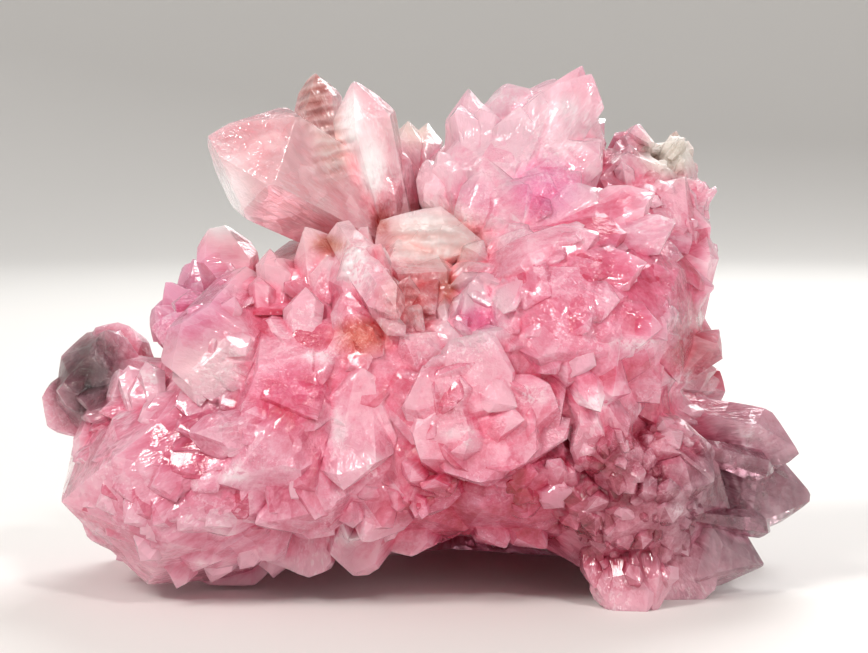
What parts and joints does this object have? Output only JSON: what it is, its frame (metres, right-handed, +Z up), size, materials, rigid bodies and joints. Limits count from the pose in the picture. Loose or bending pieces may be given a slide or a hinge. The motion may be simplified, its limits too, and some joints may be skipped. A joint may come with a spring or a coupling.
{
  "type": "rose quartz cluster",
  "caption": "Free-standing cluster of translucent pink quartz crystals grown together in domes, fans and sprays, with a smoky lobe and a scrap of pale matrix.",
  "frame": {"origin": "middle of the footprint, on the plane that the specimen rests on", "axes": "+X to the right along the cluster's length, +Y to the back, +Z up"},
  "size_m": [0.0942, 0.053, 0.0629],
  "materials": {
    "rose_quartz": "vitreous, milky translucent pink"
  },
  "bodies": {
    "root": {"rose_quartz_cluster": "rose_quartz"}
  },
  "joints": []
}
